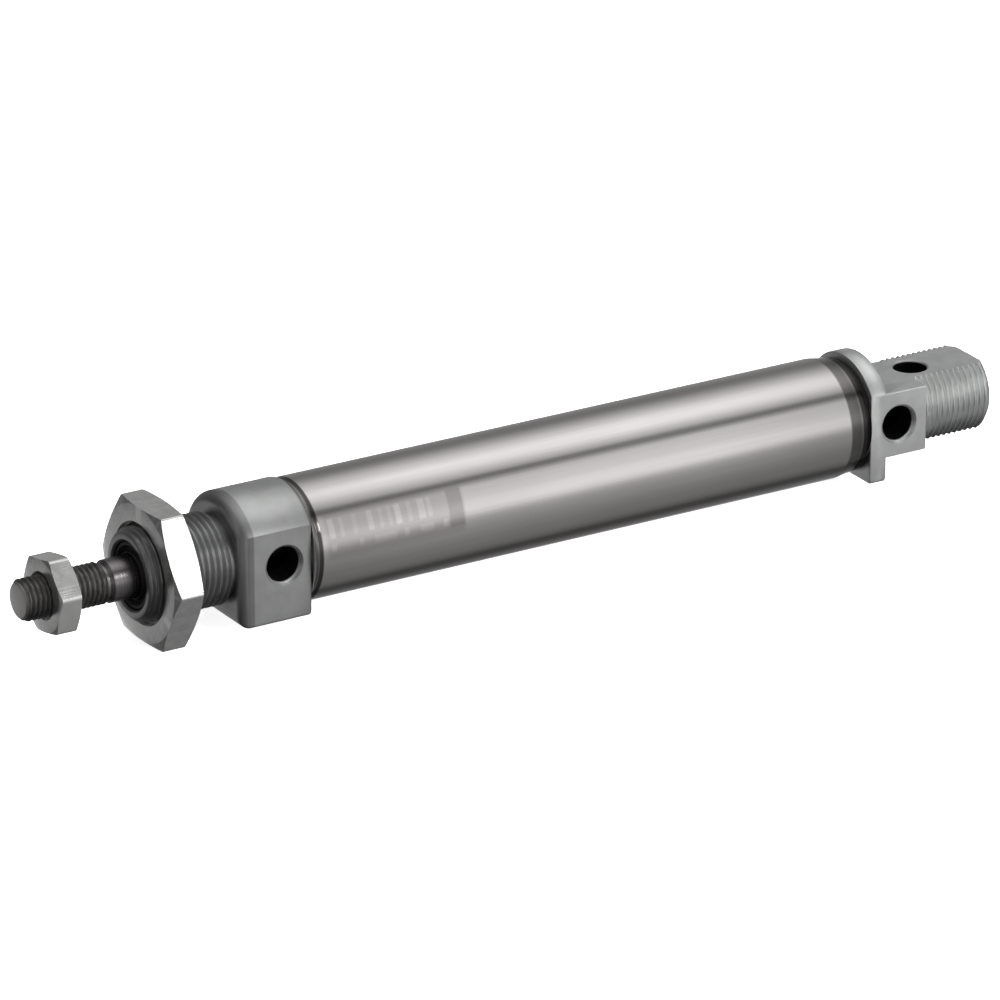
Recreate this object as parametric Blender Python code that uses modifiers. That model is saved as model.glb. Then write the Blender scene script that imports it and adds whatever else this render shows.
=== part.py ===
"""Round pneumatic cylinder, 25 mm bore and 100 mm stroke, as an assembly of separate pieces.

World frame: metres, +X along the cylinder from the rod end to the rear stud, ports facing -Y, +Z up.
The world origin is the middle of the overall length, on the cylinder axis. Every piece hangs under an
empty at the front cover's face, turned so that its local +Z runs along world +X. In that bench frame a
station is the distance behind the front face, local X points down and the ports face local -Y.
"""
import math

import bmesh
import bpy

MM = 0.001

# Driving dimensions
BORE_R = 12.5 * MM
TUBE_R = 14.5 * MM
ROD_R = 5.0 * MM
STROKE = 100.0 * MM
ROD_REACH = 50.0 * MM
REAR_END = 205.0 * MM
CLEARANCE = 0.3 * MM
RUNNING = 0.08 * MM
STEPS = 40
DRILL_STEPS = 24

# Covers: a round body with a squared foot and one flat face for the port
COVER_R = 14.9 * MM
FOOT_HALF_WIDTH = 12.1 * MM
FOOT_DEPTH = 13.9 * MM
FRONT_FILLET = 2.5 * MM
FRONT_BODY_END = 18.3 * MM
FLANGE_START = 169.3 * MM
FLANGE_END = 173.8 * MM
FLANGE_EDGE = 0.5 * MM
SPIGOT_LENGTH = 9.0 * MM
SPIGOT_R = BORE_R - 0.12 * MM
NECK_R = 11.6 * MM
CHAMBER_R = 6.3 * MM
CHAMBER_END = 181.8 * MM
PORT_R = 4.35 * MM
FRONT_PORT = 11.1 * MM
REAR_PORT = 177.1 * MM
BOSS_END = 185.0 * MM

# M22 x 1.5 nose and stud, drawn as their plain outside
M22_R = 10.9 * MM
NOSE_REACH = 22.0 * MM
STUD_FLAT = 8.0 * MM
PIN_HOLE = 188.4 * MM
PIN_HOLE_R = 4.0 * MM
END_CHAMFER = 1.0 * MM

# Seal recess and guide bush inside the nose
RECESS_R = 8.0 * MM
RECESS_END = -16.5 * MM
BUSH_SEAT_R = 6.6 * MM
BUSH_SEAT_END = -1.0 * MM
LAND_R = 5.3 * MM
LAND_END = 1.5 * MM
SEAL_FACE = -21.3 * MM

# Tube ends, rolled in over the covers
TUBE_START = FRONT_BODY_END + CLEARANCE
TUBE_END = FLANGE_START - CLEARANCE
ROLL_LENGTH = 2.6 * MM
ROLL_DEPTH = 1.1 * MM

# Nuts
MOUNTING_NUT_AF = 32.0 * MM
MOUNTING_NUT_START = -19.2 * MM
MOUNTING_NUT_THICKNESS = 7.0 * MM
ROD_NUT_AF = 17.0 * MM
ROD_NUT_START = -44.0 * MM
ROD_NUT_THICKNESS = 5.5 * MM
ROD_THREAD_END = -29.4 * MM
ROD_THREAD_R = 4.9 * MM
NUT_CLEARANCE = 0.25 * MM

# Piston, at rest against the rear cushion pad
PAD_THICKNESS = 1.6 * MM
PAD_HOLE_R = 7.2 * MM
FRONT_PAD = FRONT_BODY_END + 2 * CLEARANCE + SPIGOT_LENGTH
REAR_PAD_END = TUBE_END - SPIGOT_LENGTH - CLEARANCE
PISTON_END = REAR_PAD_END - PAD_THICKNESS - CLEARANCE
PISTON_START = FRONT_PAD + PAD_THICKNESS + CLEARANCE + STROKE
PISTON_R = 12.2 * MM
SHANK_R = 4.0 * MM
SHANK_HOLE_R = 4.15 * MM
SEAL_WIDTH = 3.2 * MM
GROOVE_WIDTH = SEAL_WIDTH + 2 * CLEARANCE
SEAL_INNER_R = 9.9 * MM
GROOVE_R = 9.7 * MM
SEAL_OUTER_R = BORE_R - RUNNING
MAGNET_THICKNESS = 2.6 * MM
MAGNET_INNER_R = 7.6 * MM
MAGNET_OUTER_R = 11.6 * MM
HALF_LENGTH = (PISTON_END - PISTON_START - MAGNET_THICKNESS - 2 * CLEARANCE) / 2
FIXING_NUT_AF = 13.0 * MM
FIXING_NUT_THICKNESS = 4.0 * MM
COUNTERBORE_R = 8.2 * MM
COUNTERBORE_DEPTH = 5.0 * MM

# O-rings
COVER_RING_R = 0.85 * MM
SHANK_RING_R = 0.6 * MM
RING_GROOVE_SLACK = 0.2 * MM


def clear_scene():
    for item in list(bpy.data.objects):
        bpy.data.objects.remove(item, do_unlink=True)


def new_collection(name):
    group = bpy.data.collections.new(name)
    bpy.context.scene.collection.children.link(group)
    return group


def new_empty(name, parent, location=(0.0, 0.0, 0.0), rotation=(0.0, 0.0, 0.0)):
    empty = bpy.data.objects.new(name, None)
    empty.empty_display_size = 0.02
    empty.location = location
    empty.rotation_euler = rotation
    empty.parent = parent
    PARTS.objects.link(empty)
    return empty


def new_material(name, colour, roughness, metallic):
    material = bpy.data.materials.new(name)
    material.use_nodes = True
    shader = material.node_tree.nodes["Principled BSDF"]
    shader.inputs["Base Color"].default_value = (*colour, 1.0)
    shader.inputs["Roughness"].default_value = roughness
    shader.inputs["Metallic"].default_value = metallic
    material.diffuse_color = (*colour, 1.0)
    return material


def add_piece(name, mesh, parent, material):
    """A visible piece of the assembly."""
    piece = bpy.data.objects.new(name, mesh)
    piece.parent = parent
    PARTS.objects.link(piece)
    mesh.materials.append(material)
    return piece


def add_tool(name, mesh, parent):
    """A hidden solid that only cuts or joins."""
    tool = bpy.data.objects.new(name, mesh)
    tool.parent = parent
    tool.hide_render = True
    tool.display_type = "WIRE"
    TOOLS.objects.link(tool)
    return tool


def combine(piece, tool, operation):
    step = piece.modifiers.new(tool.name, "BOOLEAN")
    step.operation = operation
    step.object = tool
    step.solver = "EXACT"


def profile_mesh(name, points, closed):
    """Profile points are (station, radius), the outer side first, from the rear to the front."""
    mesh = bpy.data.meshes.new(name)
    edges = [(i, i + 1) for i in range(len(points) - 1)]
    if closed:
        edges.append((len(points) - 1, 0))
    mesh.from_pydata([(radius, 0.0, station) for station, radius in points], edges, [])
    return mesh


def turn(piece, steps=STEPS):
    screw = piece.modifiers.new("Turned", "SCREW")
    screw.axis = "Z"
    screw.steps = steps
    screw.render_steps = steps
    screw.use_merge_vertices = True
    screw.merge_threshold = 0.00001
    screw.use_smooth_shade = False
    return piece


def turned_piece(name, points, parent, material, closed=True, steps=STEPS):
    return turn(add_piece(name, profile_mesh(name, points, closed), parent, material), steps)


def turned_tool(name, points, parent, closed=False):
    return turn(add_tool(name, profile_mesh(name, points, closed), parent))


def box_mesh(name, low, high):
    shape = bmesh.new()
    bmesh.ops.create_cube(shape, size=1.0)
    for vert in shape.verts:
        for axis in range(3):
            vert.co[axis] = high[axis] if vert.co[axis] > 0 else low[axis]
    return finish_mesh(name, shape)


def drill_mesh(name, radius, length, centre, along):
    """A cylinder about its centre, along local X or Y."""
    shape = bmesh.new()
    bmesh.ops.create_cone(
        shape, cap_ends=True, segments=DRILL_STEPS, radius1=radius, radius2=radius, depth=length
    )
    for vert in shape.verts:
        x, y, z = vert.co
        vert.co = (z, y, -x) if along == "X" else (x, -z, y)
        vert.co = tuple(vert.co[axis] + centre[axis] for axis in range(3))
    return finish_mesh(name, shape)


def finish_mesh(name, shape):
    bmesh.ops.recalc_face_normals(shape, faces=shape.faces[:])
    mesh = bpy.data.meshes.new(name)
    shape.to_mesh(mesh)
    shape.free()
    return mesh


def cover_outline(inset):
    """Round body with a flat port face and a squared foot, drawn in local X (down) and Y."""
    radius = COVER_R - inset
    half_width = FOOT_HALF_WIDTH - inset
    foot = FOOT_DEPTH - inset
    shoulder = math.asin(half_width / radius)
    points = [(foot, half_width), (foot, -half_width)]
    start = math.pi + shoulder
    stop = shoulder
    arc_steps = 30
    for i in range(arc_steps + 1):
        angle = start + (stop - start) * i / arc_steps
        points.append((radius * math.cos(angle), radius * math.sin(angle)))
    return points


def loft_mesh(name, sections):
    """A skin through sections of (station, outline) with equal point counts, capped at both ends."""
    shape = bmesh.new()
    rings = []
    for station, outline in sections:
        rings.append([shape.verts.new((x, y, station)) for x, y in outline])
    count = len(rings[0])
    for lower, upper in zip(rings, rings[1:]):
        for i in range(count):
            j = (i + 1) % count
            shape.faces.new((lower[i], lower[j], upper[j], upper[i]))
    shape.faces.new(rings[0])
    shape.faces.new(rings[-1])
    return finish_mesh(name, shape)


def rolled_end(edge, inward, count=4):
    """Outer points of a tube end that curves in towards the cover, from the edge inwards."""
    points = []
    for i in range(count, -1, -1):
        angle = math.pi / 2 * i / count
        station = edge + inward * ROLL_LENGTH * (1.0 - math.sin(angle))
        points.append((station, TUBE_R - ROLL_DEPTH * (1.0 - math.cos(angle))))
    return points


def spigot_points(start, end, groove):
    """Outer side of a spigot, rear to front, with its O-ring groove."""
    half = COVER_RING_R + RING_GROOVE_SLACK
    floor = SPIGOT_R - 2 * COVER_RING_R - RING_GROOVE_SLACK
    return [
        (end, SPIGOT_R), (groove + half, SPIGOT_R), (groove + half, floor),
        (groove - half, floor), (groove - half, SPIGOT_R), (start, SPIGOT_R),
    ]


def make_barrel_tube():
    outer = rolled_end(TUBE_END, -1) + rolled_end(TUBE_START, 1)[::-1]
    inner = [(TUBE_START, BORE_R), (TUBE_END, BORE_R)]
    return turned_piece("barrel_tube", outer + inner, FRAME, TUBE_METAL)


def make_front_cover():
    sections = []
    fillet_steps = 4
    for i in range(fillet_steps + 1):
        angle = math.pi / 2 * i / fillet_steps
        station = FRONT_FILLET * (1.0 - math.cos(angle))
        sections.append((station, cover_outline(FRONT_FILLET * (1.0 - math.sin(angle)))))
    sections.append((FRONT_BODY_END, cover_outline(0.0)))
    block = loft_mesh("front_cover", sections)
    cover = add_piece("front_cover", block, FRAME, COVER_METAL)
    spigot_end = TUBE_START + SPIGOT_LENGTH
    spigot_start = FRONT_BODY_END + CLEARANCE
    outside = spigot_points(spigot_start, spigot_end, FRONT_RING) + [
        (spigot_start, NECK_R), (FRONT_FILLET, NECK_R), (FRONT_FILLET, M22_R),
        (END_CHAMFER - NOSE_REACH, M22_R), (-NOSE_REACH, M22_R - END_CHAMFER), (-NOSE_REACH, 0.0),
    ]
    core = turned_tool("front_core", [(spigot_end, 0.0)] + outside, FRAME)
    combine(cover, core, "UNION")
    bores = turned_tool("front_bores", [
        (spigot_end + MM, 0.0), (spigot_end + MM, CHAMBER_R), (LAND_END, CHAMBER_R),
        (LAND_END, LAND_R), (BUSH_SEAT_END, LAND_R), (BUSH_SEAT_END, BUSH_SEAT_R),
        (RECESS_END, BUSH_SEAT_R), (RECESS_END, RECESS_R),
        (-NOSE_REACH - MM, RECESS_R), (-NOSE_REACH - MM, 0.0),
    ], FRAME)
    combine(cover, bores, "DIFFERENCE")
    combine(cover, port_drill("front_port_drill", FRONT_PORT), "DIFFERENCE")
    return cover


def port_drill(name, station):
    outside = -FOOT_HALF_WIDTH - MM
    inside = -CHAMBER_R / 2
    centre = (0.0, (outside + inside) / 2, station)
    return add_tool(name, drill_mesh(name, PORT_R, inside - outside, centre, "Y"), FRAME)


def make_rear_cover():
    flange = loft_mesh("rear_cover", [
        (FLANGE_START, cover_outline(FLANGE_EDGE)),
        (FLANGE_START + FLANGE_EDGE, cover_outline(0.0)),
        (FLANGE_END - FLANGE_EDGE, cover_outline(0.0)),
        (FLANGE_END, cover_outline(FLANGE_EDGE)),
    ])
    cover = add_piece("rear_cover", flange, FRAME, COVER_METAL)
    boss = box_mesh("rear_boss", (-STUD_FLAT - MM, -FOOT_HALF_WIDTH, FLANGE_END - MM),
                    (STUD_FLAT + MM, 0.0, BOSS_END))
    stem = turned_tool("rear_stem", [
        (REAR_END, 0.0), (REAR_END, M22_R - END_CHAMFER), (REAR_END - END_CHAMFER, M22_R),
        (FLANGE_START + MM, M22_R), (FLANGE_START + MM, 0.0),
    ], FRAME)
    spigot_start = TUBE_END - SPIGOT_LENGTH
    core = turned_tool("rear_core", [
        (FLANGE_END - MM, 0.0), (FLANGE_END - MM, NECK_R), (TUBE_END, NECK_R),
    ] + spigot_points(spigot_start, TUBE_END, REAR_RING) + [(spigot_start, 0.0)], FRAME)
    combine(cover, core, "UNION")
    combine(cover, stem, "UNION")
    combine(cover, add_tool("rear_boss", boss, FRAME), "UNION")
    for name, side in (("upper_flat", -1), ("lower_flat", 1)):
        near = side * STUD_FLAT
        far = side * (COVER_R + MM)
        low = (min(near, far), -COVER_R, FLANGE_END)
        high = (max(near, far), COVER_R, REAR_END + MM)
        combine(cover, add_tool(name, box_mesh(name, low, high), FRAME), "DIFFERENCE")
    chamber = turned_tool("rear_chamber", [
        (CHAMBER_END, 0.0), (CHAMBER_END, CHAMBER_R),
        (spigot_start - MM, CHAMBER_R), (spigot_start - MM, 0.0),
    ], FRAME)
    combine(cover, chamber, "DIFFERENCE")
    combine(cover, port_drill("rear_port_drill", REAR_PORT), "DIFFERENCE")
    pin = drill_mesh("pin_drill", PIN_HOLE_R, 2 * STUD_FLAT + 2 * MM, (0.0, 0.0, PIN_HOLE), "X")
    combine(cover, add_tool("pin_drill", pin, FRAME), "DIFFERENCE")
    return cover


def make_hex_nut(name, across_flats, start, thickness, hole_r, corner_at, parent, material):
    """A hexagon kept where it overlaps a turned blank, which gives it its chamfers and its hole.

    One of its corners stands corner_at degrees above the port side.
    """
    corner_r = across_flats / math.sqrt(3.0)
    shape = bmesh.new()
    bmesh.ops.create_cone(
        shape, cap_ends=True, segments=6, radius1=corner_r, radius2=corner_r, depth=thickness + MM
    )
    middle = start + thickness / 2
    for vert in shape.verts:
        turn_to = math.atan2(vert.co.y, vert.co.x) - math.radians(corner_at)
        vert.co = (corner_r * math.cos(turn_to), corner_r * math.sin(turn_to), vert.co.z + middle)
    nut = add_piece(name, finish_mesh(name, shape), parent, material)
    face_r = 0.505 * across_flats
    rise = (corner_r + MM - face_r) * math.tan(math.radians(18.0))
    mouth = 0.06 * thickness
    end = start + thickness
    blank = turned_tool(name + "_blank", [
        (end, hole_r + mouth), (end, face_r), (end - rise, corner_r + MM),
        (start + rise, corner_r + MM), (start, face_r), (start, hole_r + mouth),
        (start + mouth, hole_r), (end - mouth, hole_r),
    ], parent, closed=True)
    combine(nut, blank, "INTERSECT")
    return nut


def make_ring(name, inner_r, outer_r, start, end, edge, parent, material):
    """A plain turned ring with broken outer edges."""
    points = [
        (end, inner_r), (end, outer_r - edge), (end - edge, outer_r),
        (start + edge, outer_r), (start, outer_r - edge), (start, inner_r),
    ]
    return turned_piece(name, points, parent, material)


def make_o_ring(name, ring_r, centre_r, station, parent):
    sides = 10
    points = []
    for i in range(sides):
        angle = math.pi / 2 - 2 * math.pi * (i + 0.5) / sides
        points.append((station + ring_r * math.sin(angle), centre_r + ring_r * math.cos(angle)))
    return turned_piece(name, points, parent, RUBBER)


def make_wiper_seal():
    """Rod seal and wiper in one, with its lip standing forward round the rod."""
    inner = ROD_R + RUNNING
    outer = RECESS_R - 0.12 * MM
    back = RECESS_END - CLEARANCE
    points = [
        (back, inner), (back, outer), (SEAL_FACE, outer), (SEAL_FACE, outer - 1.0 * MM),
        (SEAL_FACE + 0.9 * MM, inner + 1.1 * MM), (SEAL_FACE - 0.2 * MM, inner + 0.45 * MM),
        (SEAL_FACE - 0.2 * MM, inner),
    ]
    return turned_piece("rod_wiper_seal", points, FRAME, RUBBER)


def make_piston_rod():
    """Ground rod with a threaded front end and a thinner shank through the piston."""
    shank_end = PISTON_END - 0.4 * MM
    shoulder = PISTON_START - CLEARANCE
    points = [
        (shank_end, 0.0), (shank_end, SHANK_R - 0.4 * MM), (shank_end - 0.4 * MM, SHANK_R),
        (shoulder, SHANK_R), (shoulder, ROD_R), (ROD_THREAD_END, ROD_R),
        (ROD_THREAD_END - 0.4 * MM, ROD_THREAD_R), (END_CHAMFER - ROD_REACH, ROD_THREAD_R),
        (-ROD_REACH, ROD_THREAD_R - END_CHAMFER), (-ROD_REACH, 0.0),
    ]
    return turned_piece("piston_rod", points, ROD_TURN, ROD_CHROME, closed=False)


def groove_points(centre, floor_r):
    half = GROOVE_WIDTH / 2
    return [
        (centre + half, PISTON_R), (centre + half, floor_r),
        (centre - half, floor_r), (centre - half, PISTON_R),
    ]


def make_piston_front_half():
    end = PISTON_START + HALF_LENGTH
    ring_half = SHANK_RING_R + RING_GROOVE_SLACK / 2
    ring_floor = SHANK_HOLE_R + 2 * SHANK_RING_R + RING_GROOVE_SLACK
    outer = [(end, PISTON_R)]
    outer += groove_points(WEAR_RING, SEAL_OUTER_R - 1.6 * MM)
    outer += groove_points(FRONT_SEAL, GROOVE_R)
    outer += [(PISTON_START, PISTON_R)]
    inner = [
        (PISTON_START, SHANK_HOLE_R), (SHANK_RING - ring_half, SHANK_HOLE_R),
        (SHANK_RING - ring_half, ring_floor), (SHANK_RING + ring_half, ring_floor),
        (SHANK_RING + ring_half, SHANK_HOLE_R), (end, SHANK_HOLE_R),
    ]
    return turned_piece("piston_front_half", outer + inner, ROD_TURN, PISTON_METAL)


def make_piston_rear_half():
    start = PISTON_END - HALF_LENGTH
    floor = PISTON_END - COUNTERBORE_DEPTH
    outer = [(PISTON_END, PISTON_R)]
    outer += groove_points(REAR_SEAL, GROOVE_R)
    outer += [(start, PISTON_R)]
    inner = [
        (start, SHANK_HOLE_R), (floor, SHANK_HOLE_R), (floor, COUNTERBORE_R),
        (PISTON_END, COUNTERBORE_R),
    ]
    return turned_piece("piston_rear_half", outer + inner, ROD_TURN, PISTON_METAL)


def make_lip_seal(name, centre, lip):
    """U-cup seal whose open side faces forward (lip -1) or rearward (lip +1)."""
    half = SEAL_WIDTH / 2
    notch_r = (SEAL_INNER_R + SEAL_OUTER_R) / 2
    shape = [
        (lip * half, SEAL_OUTER_R), (-lip * half, SEAL_OUTER_R - 0.2 * MM),
        (-lip * half, SEAL_INNER_R), (lip * half, SEAL_INNER_R),
        (lip * half, notch_r - 0.6 * MM), (lip * half * 0.1, notch_r), (lip * half, notch_r + 0.6 * MM),
    ]
    points = [(centre + offset, radius) for offset, radius in shape]
    if lip < 0:
        points.reverse()
    return turned_piece(name, points, SEAL_TRAVEL, RUBBER)


clear_scene()
PARTS = new_collection("pneumatic_cylinder")
TOOLS = new_collection("cutters")

FRONT_FACE_X = (ROD_REACH - REAR_END) / 2
FRONT_RING = FRONT_BODY_END + 5.6 * MM
REAR_RING = TUBE_END - 5.2 * MM
FRONT_SEAL = PISTON_START + 4.0 * MM
WEAR_RING = PISTON_START + 9.6 * MM
REAR_SEAL = PISTON_END - 8.8 * MM
SHANK_RING = PISTON_START + 6.5 * MM

TUBE_METAL = new_material("tube_metal", (0.74, 0.72, 0.69), 0.22, 1.0)
COVER_METAL = new_material("cover_metal", (0.42, 0.43, 0.42), 0.42, 1.0)
ZINC_STEEL = new_material("zinc_steel", (0.50, 0.50, 0.49), 0.35, 1.0)
ROD_CHROME = new_material("rod_chrome", (0.62, 0.62, 0.62), 0.12, 1.0)
PISTON_METAL = new_material("piston_metal", (0.68, 0.69, 0.70), 0.35, 1.0)
BRONZE = new_material("bush_bronze", (0.50, 0.33, 0.16), 0.4, 1.0)
RUBBER = new_material("seal_rubber", (0.02, 0.02, 0.022), 0.6, 0.0)
PAD_PLASTIC = new_material("pad_plastic", (0.30, 0.16, 0.05), 0.5, 0.0)
MAGNET_STUFF = new_material("magnet_compound", (0.05, 0.045, 0.045), 0.55, 0.0)
WEAR_PLASTIC = new_material("wear_plastic", (0.10, 0.22, 0.16), 0.5, 0.0)

FRAME = new_empty("cylinder_frame", None, (FRONT_FACE_X, 0.0, 0.0), (0.0, math.pi / 2, 0.0))
SEAL_TRAVEL = new_empty("piston_travel", FRAME)
ROD_TURN = new_empty("rod_turn", SEAL_TRAVEL)

make_barrel_tube()
make_front_cover()
make_rear_cover()
make_wiper_seal()
make_ring("rod_guide_bush", ROD_R + RUNNING, BUSH_SEAT_R - 0.1 * MM, RECESS_END + CLEARANCE,
          BUSH_SEAT_END - CLEARANCE, 0.4 * MM, FRAME, BRONZE)
ring_centre = SPIGOT_R - COVER_RING_R
make_o_ring("front_cover_o_ring", COVER_RING_R, ring_centre, FRONT_RING, FRAME)
make_o_ring("rear_cover_o_ring", COVER_RING_R, ring_centre, REAR_RING, FRAME)
make_ring("front_cushion_pad", PAD_HOLE_R, SPIGOT_R, FRONT_PAD, FRONT_PAD + PAD_THICKNESS,
          0.4 * MM, FRAME, PAD_PLASTIC)
make_ring("rear_cushion_pad", PAD_HOLE_R, SPIGOT_R, REAR_PAD_END - PAD_THICKNESS, REAR_PAD_END,
          0.4 * MM, FRAME, PAD_PLASTIC)
make_hex_nut("mounting_nut", MOUNTING_NUT_AF, MOUNTING_NUT_START, MOUNTING_NUT_THICKNESS,
             M22_R + NUT_CLEARANCE, 0.0, FRAME, ZINC_STEEL)

make_piston_rod()
make_piston_front_half()
make_piston_rear_half()
make_ring("piston_magnet", MAGNET_INNER_R, MAGNET_OUTER_R,
          PISTON_START + HALF_LENGTH + CLEARANCE, PISTON_END - HALF_LENGTH - CLEARANCE,
          0.3 * MM, ROD_TURN, MAGNET_STUFF)
make_o_ring("piston_o_ring", SHANK_RING_R, SHANK_HOLE_R + SHANK_RING_R + RING_GROOVE_SLACK / 2,
            SHANK_RING, ROD_TURN)
make_hex_nut("piston_fixing_nut", FIXING_NUT_AF, PISTON_END - COUNTERBORE_DEPTH + CLEARANCE,
             FIXING_NUT_THICKNESS, SHANK_HOLE_R, 30.0, ROD_TURN, ZINC_STEEL)
make_hex_nut("rod_nut", ROD_NUT_AF, ROD_NUT_START, ROD_NUT_THICKNESS,
             ROD_THREAD_R + NUT_CLEARANCE, 11.0, ROD_TURN, ZINC_STEEL)

make_lip_seal("piston_seal_front", FRONT_SEAL, -1)
make_lip_seal("piston_seal_rear", REAR_SEAL, 1)
make_ring("piston_wear_ring", SEAL_OUTER_R - 1.4 * MM, SEAL_OUTER_R, WEAR_RING - SEAL_WIDTH / 2,
          WEAR_RING + SEAL_WIDTH / 2, 0.2 * MM, SEAL_TRAVEL, WEAR_PLASTIC)
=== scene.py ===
"""Looks of the round pneumatic cylinder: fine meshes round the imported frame, materials, light and camera.

Everything is in metres, in the frame's own axes: +X from the rod end to the rear stud, ports facing -Y.
A section of a turned piece is a list of rows (x, radius). A radius may be a function of x and the angle,
which is how the threads are cut. Angles run about +X, from -Y towards +Z.
"""
import math

import bmesh
import bpy
from mathutils import Matrix, Vector


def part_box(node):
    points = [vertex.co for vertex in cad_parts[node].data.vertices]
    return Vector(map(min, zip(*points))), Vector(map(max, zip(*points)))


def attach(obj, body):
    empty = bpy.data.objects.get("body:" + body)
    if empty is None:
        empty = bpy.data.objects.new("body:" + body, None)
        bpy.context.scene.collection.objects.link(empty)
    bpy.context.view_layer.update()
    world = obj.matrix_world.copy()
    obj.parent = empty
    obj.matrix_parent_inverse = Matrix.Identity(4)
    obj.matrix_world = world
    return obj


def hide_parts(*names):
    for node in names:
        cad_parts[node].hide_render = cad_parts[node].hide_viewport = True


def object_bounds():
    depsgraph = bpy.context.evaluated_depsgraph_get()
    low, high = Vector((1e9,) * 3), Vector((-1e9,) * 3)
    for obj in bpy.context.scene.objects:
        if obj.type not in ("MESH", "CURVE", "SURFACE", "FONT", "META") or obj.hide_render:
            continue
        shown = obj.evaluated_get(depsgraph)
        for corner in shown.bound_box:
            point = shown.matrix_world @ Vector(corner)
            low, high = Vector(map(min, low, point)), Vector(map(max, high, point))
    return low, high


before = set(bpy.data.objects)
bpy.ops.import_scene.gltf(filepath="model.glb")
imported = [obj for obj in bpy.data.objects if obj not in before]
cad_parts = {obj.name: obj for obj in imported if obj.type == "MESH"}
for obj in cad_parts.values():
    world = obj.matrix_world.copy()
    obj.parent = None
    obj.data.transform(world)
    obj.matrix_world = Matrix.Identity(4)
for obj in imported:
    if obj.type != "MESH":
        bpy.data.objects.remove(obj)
CAD_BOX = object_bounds()

MM = 0.001
NODES = {name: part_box(name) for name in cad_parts}

# Stations read from the frame
TUBE_START, TUBE_END = NODES["barrel_tube"][0][0], NODES["barrel_tube"][1][0]
TUBE_R = NODES["barrel_tube"][1][2]
BORE_R = 12.5 * MM
NOSE_TIP = NODES["front_cover"][0][0]
FACE = NOSE_TIP + 22.0 * MM
FRONT_BODY_END = FACE + 18.3 * MM
FLANGE_START = TUBE_END + 0.3 * MM
FLANGE_END = FLANGE_START + 4.5 * MM
REAR_END = NODES["rear_cover"][1][0]
BOSS_END = REAR_END - 20.0 * MM
PORT_FACE = NODES["front_cover"][0][1]
FOOT_Z = NODES["front_cover"][0][2]
COVER_R = NODES["front_cover"][1][2]
FRONT_PORT = FACE + 11.1 * MM
REAR_PORT = FLANGE_END + 3.3 * MM
PIN_HOLE = REAR_END - 16.6 * MM
ROD_THREAD_END = FACE - 29.6 * MM
# Middle of the mounting nut's flat that faces the ports' side and up
NUT_FLAT = Vector((FACE - 15.7 * MM, -13.86 * MM, 8.0 * MM))

# Threads: major radius, pitch, depth
M22 = (10.93 * MM, 1.5 * MM, 0.8 * MM)
M10 = (4.95 * MM, 1.25 * MM, 0.74 * MM)
G_EIGHTH = (4.75 * MM, 0.907 * MM, 0.5 * MM)
PORT_R = 4.3 * MM
PIN_R = 4.0 * MM
FLAT_Z = 8.0 * MM
RECESS_R = 8.0 * MM
CHAMBER_R = 6.3 * MM

# Spigots of the covers inside the tube, and the O-ring groove in each
SPIGOT_LENGTH = 9.0 * MM
SPIGOT_R = 12.38 * MM
SPIGOT_NECK_R = 11.6 * MM
GROOVE_R = 10.5 * MM
GROOVE_HALF = 1.05 * MM
ROUND_STEPS = 128


# Mesh helpers

def add_object(name, mesh):
    piece = bpy.data.objects.new(name, mesh)
    bpy.context.scene.collection.objects.link(piece)
    return piece


def mesh_from(name, verts, faces):
    mesh = bpy.data.meshes.new(name)
    mesh.from_pydata(verts, [], faces)
    shape = bmesh.new()
    shape.from_mesh(mesh)
    bmesh.ops.recalc_face_normals(shape, faces=shape.faces[:])
    shape.to_mesh(mesh)
    shape.free()
    return mesh


def turned(name, rows, steps=ROUND_STEPS, closed=False):
    """Revolve rows (x, radius) about X.

    A closed section is a ring. An open one starts and ends at radius 0.
    """
    verts, faces, rings = [], [], []
    for x, radius in rows:
        if radius == 0:
            rings.append([len(verts)])
            verts.append((x, 0.0, 0.0))
            continue
        ring = []
        for i in range(steps):
            angle = 2 * math.pi * i / steps
            r = radius(x, angle) if callable(radius) else radius
            ring.append(len(verts))
            verts.append((x, -r * math.cos(angle), r * math.sin(angle)))
        rings.append(ring)
    pairs = list(zip(rings, rings[1:]))
    if closed:
        pairs.append((rings[-1], rings[0]))
    for first, second in pairs:
        for i in range(steps):
            j = (i + 1) % steps
            if len(first) == 1:
                faces.append((first[0], second[j], second[i]))
            elif len(second) == 1:
                faces.append((first[i], first[j], second[0]))
            else:
                faces.append((first[i], first[j], second[j], second[i]))
    return mesh_from(name, verts, faces)


def stood_along(mesh, about, centre):
    """Give a piece made about X a quarter turn, and place it.

    About Z its +X then runs along world -Y, and about Y it runs along +Z.
    """
    mesh.transform(Matrix.Translation(centre) @ Matrix.Rotation(-math.pi / 2, 4, about))
    return mesh


def box_mesh(name, low, high):
    shape = bmesh.new()
    bmesh.ops.create_cube(shape, size=1.0)
    for vert in shape.verts:
        for axis in range(3):
            vert.co[axis] = high[axis] if vert.co[axis] > 0 else low[axis]
    mesh = bpy.data.meshes.new(name)
    shape.to_mesh(mesh)
    shape.free()
    return mesh


def combine(piece, mesh, operation):
    """Apply one exact Boolean and drop the tool."""
    tool = add_object("tool", mesh)
    step = piece.modifiers.new("cut", "BOOLEAN")
    step.operation = operation
    step.object = tool
    step.solver = "EXACT"
    depsgraph = bpy.context.evaluated_depsgraph_get()
    result = bpy.data.meshes.new_from_object(piece.evaluated_get(depsgraph))
    piece.modifiers.clear()
    piece.data = result
    bpy.data.objects.remove(tool, do_unlink=True)


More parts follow.
